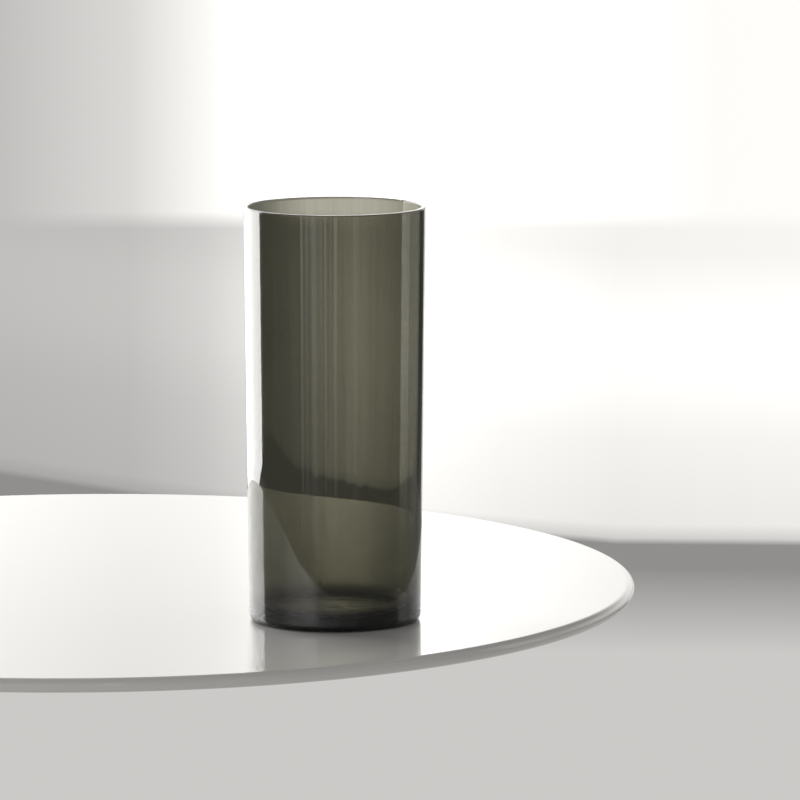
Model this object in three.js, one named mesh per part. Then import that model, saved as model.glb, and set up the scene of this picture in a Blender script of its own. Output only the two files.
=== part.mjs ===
// Glass cylinder vase: one straight-sided, very slightly tapered vessel of smoke-grey glass, open at the top.
// It is a single piece of glass. The meshes are its four named zones, from the table up: the flat floor,
// the rounded heel that joins floor to wall, the thin wall, and the polished lip.
// Millimetres, +Z up. The origin is on the axis, in the plane that the vase stands on.

import * as THREE from 'three';

// Driving dimensions.
const HEIGHT = 300;              // from the table to the top of the lip
const RIM_RADIUS = 65.5;         // outside, at the lip
const FOOT_RADIUS = 61.9;        // outside, with the wall's taper carried down to the table
const WALL = 3.3;                // wall thickness in the upper half
const FOOT_EXTRA = 1.3;          // how much thicker the wall would be at the table
const FOOT_EXTRA_TOP = 160;      // the extra thickness fades away by this height
const LIP_CORNER = 1;            // rounding of the lip's two edges, each side of its flat top
const LIP_HEIGHT = 7;            // height of the lip zone
const FLOOR_THICKNESS = 8;       // from the table to the inside of the floor
const OUTER_HEEL_RADIUS = 4.4;   // rounding between the underside and the wall
const INNER_HEEL_RISE = 11;      // rounding between the floor and the inside of the wall: its height
const INNER_HEEL_REACH = 6;      // and how far it reaches in over the floor
const HEEL_HEIGHT = 20;          // top of the heel zone
const HOLLOW_RADIUS = 50;        // the underside's shallow hollow, inside the ring that the vase stands on
const HOLLOW_DEPTH = 0.8;
const PIP_RADIUS = 6.5;          // small dimple at the middle of the floor
const PIP_DEPTH = 2.8;

const ZONE_GAP = 0.3;            // clear space between neighbouring zones
const TURN_STEPS = 96;           // flats around the axis
const HEEL_STEPS = 5;            // flats along each quarter round of the heel
const WALL_STEPS = 6;            // flats up the part of the wall that thins
const CORNER_STEPS = 4;          // flats round each edge of the lip

const smokeGlass = () => new THREE.MeshStandardMaterial({
  color: 0x8b887a,
  roughness: 0.03,
  metalness: 0,
  transparent: true,
  opacity: 0.5,
});

// Outside radius of the tapered wall at a height above the table.
const outerRadius = (z) => THREE.MathUtils.lerp(FOOT_RADIUS, RIM_RADIUS, z / HEIGHT);

// Inside radius: the wall is thickest at the foot and thins smoothly upwards.
const innerRadius = (z) => outerRadius(z) - WALL - FOOT_EXTRA * Math.max(1 - z / FOOT_EXTRA_TOP, 0) ** 2;

const point = (radius, z) => new THREE.Vector2(radius, z);

// Points along an arc in the profile plane. Angles are in degrees, 0 pointing away from the axis and 90 up.
// A rise other than the radius makes it an ellipse.
function arc(centreRadius, centreZ, radius, fromDegrees, toDegrees, steps, rise = radius) {
  return Array.from({ length: steps + 1 }, (_, i) => {
    const angle = THREE.MathUtils.degToRad(THREE.MathUtils.lerp(fromDegrees, toDegrees, i / steps));
    return point(centreRadius + radius * Math.cos(angle), centreZ + rise * Math.sin(angle));
  });
}

// A zone of the vase: its profile, going anticlockwise from its inner lower corner, turned once around +Z.
function zone(name, profile) {
  const geometry = new THREE.LatheGeometry(profile, TURN_STEPS).rotateX(Math.PI / 2);
  const mesh = new THREE.Mesh(geometry, smokeGlass());
  mesh.name = name;
  return mesh;
}

const closed = (profile) => [...profile, profile[0].clone()];

// The flat disc that holds the water, hollowed a little underneath and dimpled at its middle.
function floorDisc() {
  return zone('floor_disc', [
    point(0, HOLLOW_DEPTH),
    point(HOLLOW_RADIUS * 0.6, HOLLOW_DEPTH * 0.8),
    point(HOLLOW_RADIUS, HOLLOW_DEPTH * 0.25),
    point(HOLLOW_RADIUS, FLOOR_THICKNESS),
    point(PIP_RADIUS, FLOOR_THICKNESS),
    point(PIP_RADIUS * 0.55, FLOOR_THICKNESS - PIP_DEPTH * 0.7),
    point(0, FLOOR_THICKNESS - PIP_DEPTH),
  ]);
}

// The thick rounded ring between floor and wall. Its flat underside is what the vase stands on.
function heelRing() {
  const startRadius = HOLLOW_RADIUS + ZONE_GAP;
  const outerCentre = outerRadius(OUTER_HEEL_RADIUS) - OUTER_HEEL_RADIUS;
  const innerTop = FLOOR_THICKNESS + INNER_HEEL_RISE;
  const innerCentre = innerRadius(innerTop) - INNER_HEEL_REACH;
  return zone('heel_ring', closed([
    point(startRadius, 0),
    ...arc(outerCentre, OUTER_HEEL_RADIUS, OUTER_HEEL_RADIUS, -90, 0, HEEL_STEPS),
    point(outerRadius(HEEL_HEIGHT), HEEL_HEIGHT),
    point(innerRadius(HEEL_HEIGHT), HEEL_HEIGHT),
    ...arc(innerCentre, innerTop, INNER_HEEL_REACH, 0, -90, HEEL_STEPS, INNER_HEEL_RISE),
    point(startRadius, FLOOR_THICKNESS),
  ]));
}

// The thin tapered tube that makes up nearly all of the height.
function cylinderWall() {
  const low = HEEL_HEIGHT + ZONE_GAP;
  const high = HEIGHT - LIP_HEIGHT - ZONE_GAP;
  const thinning = Array.from({ length: WALL_STEPS }, (_, i) => {
    const z = THREE.MathUtils.lerp(FOOT_EXTRA_TOP, low, i / WALL_STEPS);
    return point(innerRadius(z), z);
  });
  return zone('cylinder_wall', closed([
    point(innerRadius(low), low),
    point(outerRadius(low), low),
    point(outerRadius(high), high),
    point(innerRadius(high), high),
    ...thinning,
  ]));
}

// The polished lip: a narrow flat top with both of its edges rounded.
function rimLip() {
  const low = HEIGHT - LIP_HEIGHT;
  const cornerZ = HEIGHT - LIP_CORNER;
  return zone('rim_lip', closed([
    point(innerRadius(low), low),
    point(outerRadius(low), low),
    ...arc(RIM_RADIUS - LIP_CORNER, cornerZ, LIP_CORNER, 0, 90, CORNER_STEPS),
    ...arc(RIM_RADIUS - WALL + LIP_CORNER, cornerZ, LIP_CORNER, 90, 180, CORNER_STEPS),
  ]));
}

const vase = new THREE.Group();
vase.add(floorDisc(), heelRing(), cylinderWall(), rimLip());

export default vase;
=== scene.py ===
"""Smoke-grey glass cylinder vase, standing on a plain pale round floor in a softly lit studio.

The vase is one continuous piece of glass, so one closed mesh stands for the CAD model's four zones.
Metres, +Z up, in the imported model's frame. The camera looks along +Y.
"""
import math

import bpy
import numpy as np
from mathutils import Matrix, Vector


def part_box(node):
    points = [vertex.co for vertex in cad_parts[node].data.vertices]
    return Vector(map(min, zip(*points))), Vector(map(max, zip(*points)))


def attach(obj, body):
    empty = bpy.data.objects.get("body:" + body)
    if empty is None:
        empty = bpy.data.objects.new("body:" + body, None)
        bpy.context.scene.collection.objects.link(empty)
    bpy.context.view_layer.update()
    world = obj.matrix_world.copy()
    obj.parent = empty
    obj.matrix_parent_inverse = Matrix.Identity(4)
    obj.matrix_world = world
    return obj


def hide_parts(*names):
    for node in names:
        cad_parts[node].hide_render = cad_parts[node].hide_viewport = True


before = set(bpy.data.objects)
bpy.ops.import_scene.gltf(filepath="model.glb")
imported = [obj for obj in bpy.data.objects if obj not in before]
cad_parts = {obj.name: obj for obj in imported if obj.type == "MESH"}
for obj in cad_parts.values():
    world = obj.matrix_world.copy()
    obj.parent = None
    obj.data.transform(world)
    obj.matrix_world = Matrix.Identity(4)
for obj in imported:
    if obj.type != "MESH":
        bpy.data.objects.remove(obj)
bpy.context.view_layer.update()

MM = 0.001

# ---------------------------------------------------------------- sizes, from the frame

_, LIP_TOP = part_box("rim_lip")
_, HEEL_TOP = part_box("heel_ring")
_, FLOOR_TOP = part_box("floor_disc")

HEIGHT = LIP_TOP.z
RIM_RADIUS = LIP_TOP.x - 0.005 * MM   # keeps the glass's ripple inside the CAD model's box
TAPER = (RIM_RADIUS - HEEL_TOP.x) / (HEIGHT - HEEL_TOP.z)   # radius gained for each metre of height
FOOT_RADIUS = RIM_RADIUS - TAPER * HEIGHT
FLOOR_THICKNESS = FLOOR_TOP.z
HOLLOW_RADIUS = FLOOR_TOP.x

# The same driving dimensions as the CAD model's, where no box shows them.
WALL = 3.3 * MM
FOOT_EXTRA = 1.3 * MM         # how much thicker the wall would be at the table
FOOT_EXTRA_TOP = 160 * MM     # the extra thickness fades away by this height
LIP_CORNER = 1.0 * MM         # rounding of the rim's two edges, each side of its flat top
OUTER_HEEL_RADIUS = 4.4 * MM
INNER_HEEL_RISE = 11 * MM     # rounding between the floor and the inside of the wall: its height
INNER_HEEL_REACH = 6 * MM     # and how far it reaches in over the floor
HOLLOW_DEPTH = 0.8 * MM
PIP_RADIUS = 6.5 * MM
PIP_DEPTH = 2.8 * MM

# Unevenness of the hand-finished glass.
WALL_BOW = 0.25 * MM         # the wall swells this much at mid-height
THICKNESS_RIPPLE = 0.014 * MM
SURFACE_RIPPLE = 0.006 * MM
LIP_WAVER = 0.25 * MM

TURN_STEPS = 360
GLASS_IOR = 1.5
SMOKE_COLOUR = (0.365, 0.36, 0.25, 1)
SMOKE_DENSITY = 500
WORN_HEIGHT = 0.6 * MM       # the ring that the vase stands on is dull up to here
WORN_ROUGHNESS = 0.3


# ---------------------------------------------------------------- the glass mesh

def outer_radius(z):
    return FOOT_RADIUS + TAPER * z


def arc(centre_r, centre_z, radius, start, end, steps, rise=None):
    """Points along an arc in the profile plane, in degrees: 0 is away from the axis and 90 up.
    A rise other than the radius makes it an ellipse."""
    angles = np.radians(np.linspace(start, end, steps + 1))
    rise = radius if rise is None else rise
    return np.column_stack((centre_r + radius * np.cos(angles), centre_z + rise * np.sin(angles)))


def spaced(start, end, steps):
    """From start to end, close together at both ends, so that smooth shading keeps long flat runs flat."""
    share = 0.5 - 0.5 * np.cos(math.pi * np.linspace(0, 1, steps + 1))
    return start + (end - start) * share


def underside(heel_start):
    """The shallow hollow under the floor, then the flat ring that the vase stands on."""
    r = np.linspace(0, HOLLOW_RADIUS, 22)
    z = HOLLOW_DEPTH * (1 - (r / HOLLOW_RADIUS) ** 2) ** 2
    ring = spaced(HOLLOW_RADIUS, heel_start, 10)[1:-1]
    return np.vstack((np.column_stack((r, z)), np.column_stack((ring, 0 * ring))))


def bow(z):
    """How far the wall swells out from its straight taper."""
    return WALL_BOW * 4 * (z / HEIGHT) * (1 - z / HEIGHT)


def outside_wall(low, high, steps=60):
    z = spaced(low, high, steps)
    return np.column_stack((outer_radius(z) + bow(z), z))


def wall_thickness(z):
    return WALL + FOOT_EXTRA * np.clip(1 - z / FOOT_EXTRA_TOP, 0, 1) ** 2


def inside_wall(low, high, steps=60):
    """From the lip down to the heel."""
    z = spaced(high, low, steps)
    return np.column_stack((outer_radius(z) + bow(z) - wall_thickness(z), z))


def floor_inside(start_radius):
    """The flat floor and the round dimple at its middle."""
    flat = spaced(start_radius, PIP_RADIUS, 18)[1:]
    dimple = np.linspace(PIP_RADIUS, 0, 14)[1:]
    depth = PIP_DEPTH * (1 - (dimple / PIP_RADIUS) ** 2)
    return np.vstack((
        np.column_stack((flat, np.full(len(flat), FLOOR_THICKNESS))),
        np.column_stack((dimple, FLOOR_THICKNESS - depth)),
    ))


def vase_profile():
    """(radius, height) from the underside's middle, up the outside, over the lip and down to the floor.
    With it comes each point's side: -1 outside, 0 on the lip and 1 inside."""
    heel_centre = outer_radius(OUTER_HEEL_RADIUS) - OUTER_HEEL_RADIUS
    lip_low = HEIGHT - LIP_CORNER
    inner_top = FLOOR_THICKNESS + INNER_HEEL_RISE
    inner_centre = outer_radius(inner_top) - wall_thickness(inner_top) - INNER_HEEL_REACH
    outside = np.vstack((
        underside(heel_centre),
        arc(heel_centre, OUTER_HEEL_RADIUS, OUTER_HEEL_RADIUS, -90, 0, 20),
        outside_wall(OUTER_HEEL_RADIUS, lip_low)[1:-1],
    ))
    lip = np.vstack((
        arc(RIM_RADIUS - LIP_CORNER, lip_low, LIP_CORNER, 0, 90, 8),
        arc(RIM_RADIUS - WALL + LIP_CORNER, lip_low, LIP_CORNER, 90, 180, 8),
    ))
    inside = np.vstack((
        inside_wall(inner_top, lip_low)[1:-1],
        arc(inner_centre, inner_top, INNER_HEEL_REACH, 0, -90, 26, INNER_HEEL_RISE),
        floor_inside(inner_centre),
    ))
    profile = np.vstack((outside, lip, inside))
    side = np.concatenate((np.full(len(outside), -1.0), np.zeros(len(lip)), np.full(len(inside), 1.0)))
    return profile, side


def waves(angle, z, counts, seed):
    """A sum of waves around the vase, each with its own lean and slow swing up the height; about -1 to 1."""
    rng = np.random.default_rng(seed)
    total = np.zeros(np.broadcast(angle, z).shape)
    for count in counts:
        phase, lean, swing, swing_phase = rng.uniform(-1, 1, 4)
        weight = rng.uniform(0.5, 1) / math.sqrt(len(counts))
        sway = 0.6 * swing * np.sin(3 * z / HEIGHT + math.pi * swing_phase)
        turn = math.pi * (phase + lean * z / HEIGHT + sway)
        total += weight * np.cos(count * angle + turn)
    return total


def vase_mesh():
    profile, side = vase_profile()
    angle = np.linspace(0, 2 * math.pi, TURN_STEPS, endpoint=False)[None, :]
    r = np.repeat(profile[1:-1, :1], TURN_STEPS, axis=1)
    z = np.repeat(profile[1:-1, 1:], TURN_STEPS, axis=1)
    side = side[1:-1, None]

    # The unevenness dies away at the lip and at the heel, where the glass is thick.
    body = np.clip((z - 1.5 * FLOOR_THICKNESS) / (40 * MM), 0, 1) * np.clip((HEIGHT - z) / (25 * MM), 0, 1)
    cords = waves(angle, z, (9, 14, 19, 27, 34, 46), 11)
    broad = waves(angle, z, (2, 3, 5), 23)
    skin = waves(angle, z, (7, 12, 17, 23), 37)
    r = r + body * np.where(side > 0, -THICKNESS_RIPPLE * (cords + broad), SURFACE_RIPPLE * skin)

    # The lip's height wavers a little, downwards only.
    waver = LIP_WAVER * 0.5 * (1 + waves(angle, 0 * angle, (1, 2, 3), 5) / 1.8)
    near_lip = np.clip((z - (HEIGHT - 30 * MM)) / (30 * MM), 0, 1) ** 2
    z = z - near_lip * np.clip(waver, 0, None)

    rows = r.shape[0]
    ring = np.stack((r * np.cos(angle), r * np.sin(angle), z), axis=-1).reshape(-1, 3)
    bottom, top = len(ring), len(ring) + 1
    points = np.vstack((ring, [[0, 0, profile[0, 1]], [0, 0, profile[-1, 1]]]))

    faces = []
    for i in range(rows - 1):
        a, b = i * TURN_STEPS, (i + 1) * TURN_STEPS
        for j in range(TURN_STEPS):
            k = (j + 1) % TURN_STEPS
            faces.append((a + j, a + k, b + k, b + j))
    last = (rows - 1) * TURN_STEPS
    for j in range(TURN_STEPS):
        k = (j + 1) % TURN_STEPS
        faces.append((bottom, k, j))
        faces.append((last + j, last + k, top))

    mesh = bpy.data.meshes.new("vase_glass")
    mesh.from_pydata(points.tolist(), [], faces)
    mesh.update()
    mesh.shade_smooth()
    return mesh


# ---------------------------------------------------------------- materials

def new_material(name):
    material = bpy.data.materials.new(name)
    material.use_nodes = True
    nodes = material.node_tree.nodes
    return material, nodes, material.node_tree.links, nodes["Principled BSDF"], nodes["Material Output"]


def smoke_glass():
    """Clear smoke-grey glass: the colour is absorption in its depth, so thick glass looks darker than thin.
    Faint upright cords of paler and darker glass run up the wall, and the ring it stands on is worn dull."""
    material, nodes, links, shader, output = new_material("smoke_glass")
    shader.inputs["Transmission Weight"].default_value = 1
    shader.inputs["IOR"].default_value = GLASS_IOR

    place = nodes.new("ShaderNodeTexCoord")
    stretch = nodes.new("ShaderNodeVectorMath")
    stretch.operation = "MULTIPLY"
    stretch.inputs[1].default_value = (1, 1, 0.006)
    links.new(place.outputs["Object"], stretch.inputs[0])
    cords = nodes.new("ShaderNodeTexNoise")
    cords.inputs["Scale"].default_value = 420
    cords.inputs["Detail"].default_value = 2
    cords.inputs["Roughness"].default_value = 0.6
    links.new(stretch.outputs["Vector"], cords.inputs["Vector"])
    tint = nodes.new("ShaderNodeValToRGB")
    tint.color_ramp.elements[0].position = 0.3
    tint.color_ramp.elements[0].color = (0.94, 0.93, 0.93, 1)
    tint.color_ramp.elements[1].position = 0.62
    tint.color_ramp.elements[1].color = (1, 1, 1, 1)
    links.new(cords.outputs["Fac"], tint.inputs["Fac"])
    links.new(tint.outputs["Color"], shader.inputs["Base Color"])

    height = nodes.new("ShaderNodeSeparateXYZ")
    links.new(place.outputs["Object"], height.inputs["Vector"])
    worn = nodes.new("ShaderNodeMapRange")
    worn.inputs["From Max"].default_value = WORN_HEIGHT
    worn.inputs["To Min"].default_value = WORN_ROUGHNESS
    worn.inputs["To Max"].default_value = 0
    links.new(height.outputs["Z"], worn.inputs["Value"])
    links.new(worn.outputs["Result"], shader.inputs["Roughness"])

    absorption = nodes.new("ShaderNodeVolumeAbsorption")
    absorption.inputs["Color"].default_value = SMOKE_COLOUR
    absorption.inputs["Density"].default_value = SMOKE_DENSITY
    links.new(absorption.outputs["Volume"], output.inputs["Volume"])
    return material


def pale_floor():
    material, _, _, shader, _ = new_material("pale_floor")
    shader.inputs["Base Color"].default_value = (0.47, 0.465, 0.455, 1)
    shader.inputs["Roughness"].default_value = 0.12
    return material


# ---------------------------------------------------------------- the vase

def add_object(name, mesh, material):
    obj = bpy.data.objects.new(name, mesh)
    bpy.context.scene.collection.objects.link(obj)
    mesh.materials.append(material)
    return obj


vase = add_object("vase_glass", vase_mesh(), smoke_glass())
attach(vase, "root")
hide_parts("floor_disc", "heel_ring", "cylinder_wall", "rim_lip")


# ---------------------------------------------------------------- camera

CAMERA_LENS = 270            # millimetres, on the usual 36 mm sensor
CAMERA_DISTANCE = 4.32
CAMERA_ELEVATION = math.radians(8.0)
AIM = Vector((0.0470, 0, 0.1594))   # the point at the middle of the picture, to the right of the vase


def add_camera():
    data = bpy.data.cameras.new("camera")
    data.lens = CAMERA_LENS
    data.clip_end = 100
    camera = bpy.data.objects.new("camera", data)
    bpy.context.scene.collection.objects.link(camera)
    away = Vector((0, -math.cos(CAMERA_ELEVATION), math.sin(CAMERA_ELEVATION)))
    camera.location = AIM + CAMERA_DISTANCE * away
    camera.rotation_euler = (-away).to_track_quat("-Z", "Y").to_euler()
    bpy.context.scene.camera = camera


add_camera()


# ---------------------------------------------------------------- stage and light

# The round floor's edge is a circle fitted to the edge that the real glass shows, through it and mirrored.
STAGE_CENTRE = Vector((-0.190, 0.173))
STAGE_RADIUS = 0.413
STAGE_THICKNESS = 0.010
STAGE_GAP = 0.05 * MM        # keeps the two surfaces from coinciding


def stage_mesh(steps=256):
    """A round floor with a softly rounded edge."""
    edge = STAGE_THICKNESS / 2
    side = arc(STAGE_RADIUS - edge, -edge, edge, 90, -90, 16)
    flat = STAGE_RADIUS - edge - 1 * MM
    profile = np.vstack(([[0, 0], [flat, 0]], side, [[flat, -STAGE_THICKNESS], [0, -STAGE_THICKNESS]]))
    angle = np.linspace(0, 2 * math.pi, steps, endpoint=False)
    points = [(0, 0, 0), (0, 0, -STAGE_THICKNESS)]
    for r, z in profile[1:-1]:
        points += [(r * math.cos(t), r * math.sin(t), z) for t in angle]
    faces = []
    rows = len(profile) - 2
    for j in range(steps):
        k = (j + 1) % steps
        faces.append((0, 2 + j, 2 + k))
        faces.append((1, 2 + (rows - 1) * steps + k, 2 + (rows - 1) * steps + j))
        for i in range(rows - 1):
            a, b = 2 + i * steps, 2 + (i + 1) * steps
            faces.append((a + j, b + j, b + k, a + k))
    mesh = bpy.data.meshes.new("stage_floor")
    mesh.from_pydata(points, [], faces)
    mesh.update()
    mesh.shade_smooth()
    return mesh


stage_floor = add_object("stage_floor", stage_mesh(), pale_floor())
stage_floor.location = (STAGE_CENTRE.x, STAGE_CENTRE.y, -STAGE_GAP)


def add_panel(name, azimuth, distance, width, low, high, radiance, across=(1, 1), rise=None,
              through_glass=False):
    """A soft upright light panel that faces the vase. Azimuth is in degrees: 0 is behind the vase and 90 on
    its right. Radiance is what the panel looks like, times across from its one side to the other. Rise is the
    share of its height over which it fades in from the bottom. The camera doesn't see it, and rays through
    glass see it only where through_glass is set."""
    height = high - low
    data = bpy.data.lights.new(name, "AREA")
    data.shape = "RECTANGLE"
    data.size = width
    data.size_y = height
    data.energy = radiance * width * height * math.pi
    light = bpy.data.objects.new(name, data)
    bpy.context.scene.collection.objects.link(light)
    turn = math.radians(azimuth)
    light.location = (distance * math.sin(turn), distance * math.cos(turn), (low + high) / 2)
    inward = Vector((-math.sin(turn), -math.cos(turn), 0))
    light.rotation_euler = inward.to_track_quat("-Z", "Y").to_euler()
    light.visible_camera = False
    light.visible_transmission = through_glass

    data.use_nodes = True
    nodes, links = data.node_tree.nodes, data.node_tree.links
    place = nodes.new("ShaderNodeNewGeometry")
    split = nodes.new("ShaderNodeSeparateXYZ")
    links.new(place.outputs["Parametric"], split.inputs["Vector"])
    sideways = nodes.new("ShaderNodeMapRange")
    sideways.inputs["To Min"].default_value = across[0]
    sideways.inputs["To Max"].default_value = across[1]
    links.new(split.outputs["X"], sideways.inputs["Value"])
    strength = sideways.outputs["Result"]
    if rise:
        upwards = nodes.new("ShaderNodeMapRange")
        upwards.inputs["From Max"].default_value = rise
        links.new(split.outputs["Y"], upwards.inputs["Value"])
        links.new(strength, upwards.inputs["To Max"])
        strength = upwards.outputs["Result"]
    links.new(strength, nodes["Emission"].inputs["Strength"])
    return light


add_panel("window_panel", azimuth=-42.5, distance=1.6, width=1.83, low=-0.18, high=1.4, radiance=9,
          across=(0.13, 1), through_glass=True)
add_panel("right_panel", azimuth=78.5, distance=1.6, width=0.44, low=-0.22, high=1.0, radiance=1.15,
          across=(1, 0.7), rise=0.15)
add_panel("right_fill", azimuth=57.5, distance=1.6, width=0.72, low=-0.22, high=1.0, radiance=0.26, rise=0.15)
add_panel("front_fill", azimuth=-152, distance=1.7, width=0.80, low=-0.28, high=1.0, radiance=0.42, rise=0.3)

# Upright lights in front of the vase, placed by trial to make its streaks: (azimuth, width, radiance).
STRIP_LIGHTS = (
    (-139, 0.08, 1.15), (-145.6, 0.10, 0.6), (-155, 0.18, 0.45), (-164.9, 0.05, 0.3), (-169.3, 0.07, 0.95),
    (-175.6, 0.05, 0.45), (178.1, 0.12, 1.1), (152.7, 0.20, 0.4),
)
STRIP_DISTANCE = 1.6
STRIP_LOW = -0.28
STRIP_HIGH = 1.0
for number, (azimuth, width, radiance) in enumerate(STRIP_LIGHTS, 1):
    add_panel(f"strip_light_{number}", azimuth, STRIP_DISTANCE, width, STRIP_LOW, STRIP_HIGH, radiance,
              rise=0.3)


# The lists below were set by trial, so that the glass shows the lights and darks of the real vase.
# How bright the surroundings are just below eye level: degrees from straight behind the vase, positive on its
# right, and radiance.
AROUND = (
    (-180, 0.22), (-80, 0.18), (-12, 0.45), (-5.2, 0.50), (-2.6, 0.56), (-1.9, 0.66), (-1.4, 0.82),
    (-0.4, 1.12), (0.1, 1.30), (1.0, 1.15), (2.1, 1.05), (12, 1.25), (20, 1.35), (23, 0.10), (46, 0.10),
    (50, 0.22), (180, 0.22),
)
# How much of that shows at each elevation, in degrees, above the ground's own radiance.
ABOVE_GROUND = (
    (-9.14, 0), (-9.08, 0.45), (-8.95, 0.70), (-8.15, 0.81), (-7.6, 0.97), (-7.1, 1.03), (-6.36, 0.82),
)
GROUND_RADIANCE = 0.28
# The ground's far edge is not level: degrees higher or lower at each azimuth.
EDGE_SHIFT = ((-4.5, 0.55), (-1.9, 0.13), (-0.6, 0), (0.65, -0.12), (2.1, -0.23))
# The nearer ground is paler: how much so by elevation behind the vase, and by elevation all round.
NEAR_GROUND_BEHIND = ((-10.4, 1), (-9.6, 0))
NEAR_GROUND = ((-14, 1), (-12, 0))
NEAR_GROUND_RADIANCE = 0.6
BEHIND = ((-30, 0), (-12, 1), (12, 1), (30, 0))
# Higher up, a broad bright area behind the vase, seen over the lip and through the back wall alone.
HIGH_AREA = ((-6.36, 0), (-6.2, 1))
HIGH_RADIANCE = (
    (-60, 0.3), (-12, 0.42), (-3.8, 0.54), (-2.6, 0.70), (-1.8, 1.0), (-1.2, 1.25), (-0.6, 1.25), (0.2, 1.32),
    (1.5, 1.15), (3, 1.0), (20, 1.1), (60, 0.4),
)
# Pale walls above eye level, brightest right behind the vase, and a dimmer ceiling.
WALLS = ((-1, 0), (5, 1))
WALL_RADIANCE = (
    (-180, 0.7), (-160, 0.9), (-150, 2.9), (-125, 2.9), (-105, 1.2), (-80, 0.9), (-30, 1.9), (-5, 1.9),
    (-2.6, 1.55), (-1.5, 1.7), (-0.9, 3.1), (0.3, 2.9), (1.2, 2.2), (2.5, 1.75), (30, 1.7), (75, 0.5),
    (130, 0.3), (180, 0.7),
)
CEILING = ((12, 0), (24, 1))
CEILING_RADIANCE = 0.35


def studio_world():
    """Soft pale surroundings, uneven by direction: brightest behind the vase and dimmer elsewhere, over a
    darker ground past the round floor."""
    world = bpy.data.worlds.new("studio")
    bpy.context.scene.world = world
    world.use_nodes = True
    nodes, links = world.node_tree.nodes, world.node_tree.links
    background = nodes["Background"]
    direction = nodes.new("ShaderNodeTexCoord")
    split = nodes.new("ShaderNodeSeparateXYZ")
    links.new(direction.outputs["Generated"], split.inputs["Vector"])

    def feed(socket, source):
        if isinstance(source, (int, float)):
            socket.default_value = source
        else:
            links.new(source, socket)

    def calculate(operation, *sources):
        node = nodes.new("ShaderNodeMath")
        node.operation = operation
        for socket, source in zip(node.inputs, sources):
            feed(socket, source)
        return node.outputs["Value"]

    def through_points(value, points):
        """Straight lines from point to point."""
        total = points[0][1]
        for (x0, y0), (x1, y1) in zip(points, points[1:]):
            if y0 == y1:
                continue
            step = nodes.new("ShaderNodeMapRange")
            step.inputs["From Min"].default_value = x0
            step.inputs["From Max"].default_value = x1
            step.inputs["To Max"].default_value = y1 - y0
            links.new(value, step.inputs["Value"])
            total = calculate("ADD", step.outputs["Result"], total)
        return total

    def blend(share, low, high):
        node = nodes.new("ShaderNodeMapRange")
        feed(node.inputs["Value"], share)
        feed(node.inputs["To Min"], low)
        feed(node.inputs["To Max"], high)
        return node.outputs["Result"]

    azimuth = calculate("DEGREES", calculate("ARCTAN2", split.outputs["X"], split.outputs["Y"]))
    elevation = calculate("DEGREES", calculate("ARCSINE", split.outputs["Z"]))
    above_edge = calculate("SUBTRACT", elevation, through_points(azimuth, EDGE_SHIFT))
    behind = through_points(azimuth, BEHIND)
    paler = calculate("MULTIPLY", through_points(elevation, NEAR_GROUND_BEHIND), behind)
    paler = calculate("MAXIMUM", paler, through_points(elevation, NEAR_GROUND))
    ground = blend(paler, GROUND_RADIANCE, NEAR_GROUND_RADIANCE)
    near = blend(through_points(above_edge, ABOVE_GROUND), ground, through_points(azimuth, AROUND))
    high = blend(through_points(elevation, HIGH_AREA), near, through_points(azimuth, HIGH_RADIANCE))
    walls = blend(through_points(elevation, WALLS), high, through_points(azimuth, WALL_RADIANCE))
    strength = blend(through_points(elevation, CEILING), walls, CEILING_RADIANCE)
    background.inputs["Color"].default_value = (1, 0.985, 0.96, 1)
    links.new(strength, background.inputs["Strength"])


studio_world()
bpy.context.scene.view_settings.view_transform = "Standard"


# ---------------------------------------------------------------- hand-over

bpy.context.view_layer.update()
